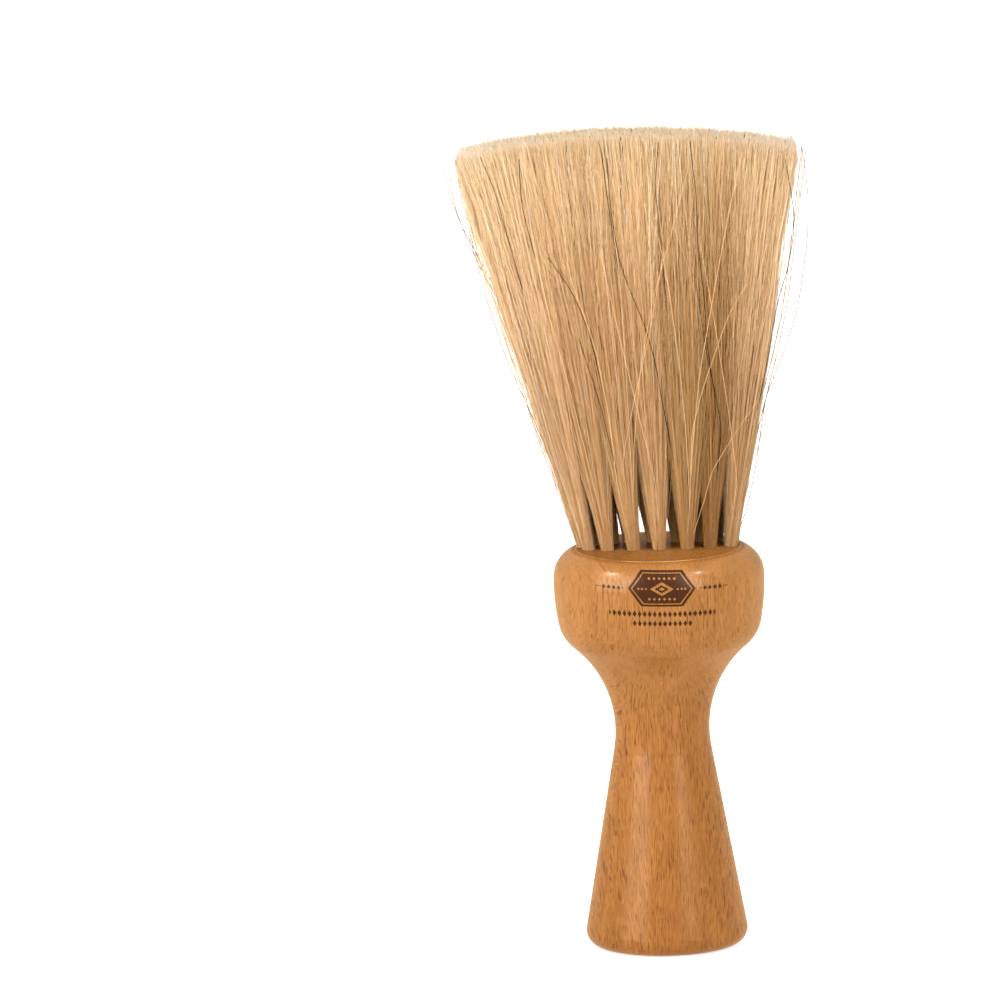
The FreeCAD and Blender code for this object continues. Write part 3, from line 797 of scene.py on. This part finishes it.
def grow_tuft(node, seed, material):
    rng = np.random.default_rng(seed)
    name = node.removeprefix("tuft_")
    low, tip, tip_half, root_radius = read_tuft(node)
    axis = (tip - low) / np.linalg.norm(tip - low)
    root = low + axis * ((FACE_Z - low[2]) / axis[2])      # at the tuft face
    foot = root - axis * SINK / axis[2]                    # inside the hole

    along = np.linspace(0, 1, POINTS) ** 1.25
    xy, hole, lock_shade = spread_strands(rng, root, tip, tip_half, root_radius, along)
    add_strays(rng, xy, along, tip[1])
    z = cut_strands(rng, xy, along)
    x = part_fan(rng, keep_in_fan(rng, xy[:, :, 0], z, along), z)
    left, right = fan_edges(z)
    loose = ((x < left - 0.8) | (x > right + 0.8)).any(1)

    # from inside the hole, up its axis, to the tips
    paths = np.empty((STRANDS, POINTS + 1, 3))
    paths[:, 0, :2] = foot[:2] + hole * root_radius * 0.92
    paths[:, 0, 2] = FACE_Z - SINK
    paths[:, 1:, 0] = x
    paths[:, 1:, 1] = xy[:, :, 1]
    paths[:, 1:, 2] = z
    along = np.concatenate([[0.0], along])
    thickness = (0.050 + 0.017 * rng.random(STRANDS))[:, None]
    radii = thickness * np.interp(along, [0.0, 0.3, 0.85, 1.0], [1.0, 1.0, 1.06, 0.90])[None]
    colours, dark = strand_colours(rng, along)
    paint_tuft_light(colours, dark, loose, name, lock_shade, along)
    radii[dark] *= 1.8
    radii[loose & ~dark] *= 1.2
    groups = [(paths, radii, np.clip(colours, 0.002, 0.95), rng.random(STRANDS) * TURN)]
    groups += [single_hair(rng, kind, points, root, foot)
               for tuft, kind, points in SINGLES if tuft == name]

    hair = strand_mesh("hair_" + name, groups, material)
    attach(hair, "root")
    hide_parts(node)


horsehair = hair_material()
for index, node in enumerate(sorted(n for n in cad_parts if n.startswith("tuft_"))):
    grow_tuft(node, 1000 + 17 * index, horsehair)

# ----------------------------------------------------------- CAD materials
for node, material in (("handle", beech_material()), ("anchors", wire_material())):
    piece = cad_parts[node]
    if not piece.material_slots:
        piece.data.materials.append(material)
    for slot in piece.material_slots:
        slot.material = material

# -------------------------------------------------------------------- floor
FLOOR_HALF = 6.0
FLOOR_Z = -0.0002


def floor_material():
    """White paper, kept white to the eye far from the lamps."""
    graph = material_graph("pale_floor")
    paper = graph.shader("BsdfPrincipled", Base_Color=(0.90, 0.90, 0.90), Roughness=0.85,
                         Specular_IOR_Level=0.1)
    glow = graph.shader("Emission", Color=(1, 1, 1), Strength=0.62)
    ray = graph.node("LightPath").outputs
    seen = graph.node("AddShader", {0: paper, 1: glow}).outputs[0]
    # as the lacquer mirrors it
    warm = graph.shader("Emission", Color=(1.0, 0.66, 0.38), Strength=1.10)
    unseen = graph.mix_shader(ray["Is Glossy Ray"], paper, warm)
    return graph.finish(graph.mix_shader(ray["Is Camera Ray"], unseen, seen))


floor_mesh = bpy.data.meshes.new("floor")
floor_corners = [(x * FLOOR_HALF, y * FLOOR_HALF, FLOOR_Z)
                 for x, y in ((-1, -1), (1, -1), (1, 1), (-1, 1))]
floor_mesh.from_pydata(floor_corners, [], [(0, 1, 2, 3)])
floor = bpy.data.objects.new("floor", floor_mesh)
floor_mesh.materials.append(floor_material())
scene.collection.objects.link(floor)


# -------------------------------------------------------------------- light
def studio_world():
    """Near-white light, warmer and dimmer where it is mirrored; white to the camera."""
    graph = Graph(bpy.data.worlds.new("studio"))
    ray = graph.node("LightPath").outputs
    walls = graph.mix(ray["Is Glossy Ray"], (1.0, 0.985, 0.965), (1.0, 0.79, 0.56))
    strength = graph.times_plus(ray["Is Glossy Ray"], -0.25, 0.95)
    lit = graph.shader("Background", Color=walls, Strength=strength)
    seen = graph.shader("Background", Color=(1, 1, 1), Strength=1.0)
    return graph.finish(graph.mix_shader(ray["Is Camera Ray"], lit, seen), "OutputWorld")


def softbox(name, azimuth, elevation, width, height, watts, distance=0.95, aim_z=0.10):
    """A lamp aimed at the duster's axis. Azimuth 0 is on the camera's side, + to the right."""
    turn, lift = math.radians(azimuth), math.radians(elevation)
    aim = Vector((0, 0, aim_z))
    place = Vector((math.sin(turn) * math.cos(lift), -math.cos(turn) * math.cos(lift),
                    math.sin(lift))) * distance + aim
    data = bpy.data.lights.new(name, "AREA")
    data.shape = "RECTANGLE"
    data.size, data.size_y = width, height
    data.energy = watts
    lamp = bpy.data.objects.new(name, data)
    lamp.location = place
    lamp.rotation_mode = "QUATERNION"
    lamp.rotation_quaternion = (place - aim).to_track_quat("Z", "Y")
    scene.collection.objects.link(lamp)
    return lamp


scene.world = studio_world()
softbox("left_box", azimuth=-49, elevation=25, width=0.72, height=0.90, watts=9.2, aim_z=0.145)
softbox("right_box", azimuth=37, elevation=27, width=0.42, height=0.90, watts=4.9, aim_z=0.145)
softbox("left_bulb", azimuth=-75, elevation=52, width=0.07, height=0.07, watts=1.5)
softbox("right_bulb", azimuth=65, elevation=55, width=0.07, height=0.07, watts=1.3)
softbox("top_box", azimuth=10, elevation=74, width=1.0, height=0.8, watts=1.0, distance=1.1)
# a narrow lamp by the camera, kept to the hair
hair_lamp = softbox("hair_lamp", azimuth=-9, elevation=15, width=0.10, height=0.10,
                    watts=0.035, aim_z=0.208)
hair_lamp.data.spread = math.radians(17)
hair_lamp.visible_glossy = False

# ------------------------------------------------------------------- camera
# Long lens, a little above the brush. The aim point stands off the middle of the view.
CAMERA_DISTANCE = 4.591
CAMERA_ELEVATION = math.radians(11.3)
CAMERA_ROLL = math.radians(1.337)
CAMERA_AIM = Vector((0, 0, 0.056))
VIEW_WIDTH = 0.279279           # seen at the aim point's distance
AIM_RIGHT = 0.0453096           # aim point from the middle of the view
AIM_BELOW = 0.06837732
SENSOR_WIDTH = 36.0             # mm


def add_camera():
    across = Vector((1, 0, 0))
    up = Vector((0, math.sin(CAMERA_ELEVATION), math.cos(CAMERA_ELEVATION)))
    back = Vector((0, -math.cos(CAMERA_ELEVATION), math.sin(CAMERA_ELEVATION)))
    rolled_across = across * math.cos(CAMERA_ROLL) - up * math.sin(CAMERA_ROLL)
    rolled_up = across * math.sin(CAMERA_ROLL) + up * math.cos(CAMERA_ROLL)
    forward = (-back - rolled_across * (AIM_RIGHT / CAMERA_DISTANCE)
               + rolled_up * (AIM_BELOW / CAMERA_DISTANCE)).normalized()
    view_right = forward.cross(rolled_up).normalized()
    view_up = view_right.cross(forward).normalized()
    pose = Matrix((view_right, view_up, -forward)).transposed().to_4x4()
    pose.translation = CAMERA_AIM + back * CAMERA_DISTANCE

    data = bpy.data.cameras.new("camera")
    data.sensor_width = SENSOR_WIDTH
    data.lens = SENSOR_WIDTH * CAMERA_DISTANCE / VIEW_WIDTH
    data.clip_start, data.clip_end = 0.5, 40.0
    camera = bpy.data.objects.new("camera", data)
    camera.matrix_world = pose
    scene.collection.objects.link(camera)
    scene.camera = camera


add_camera()
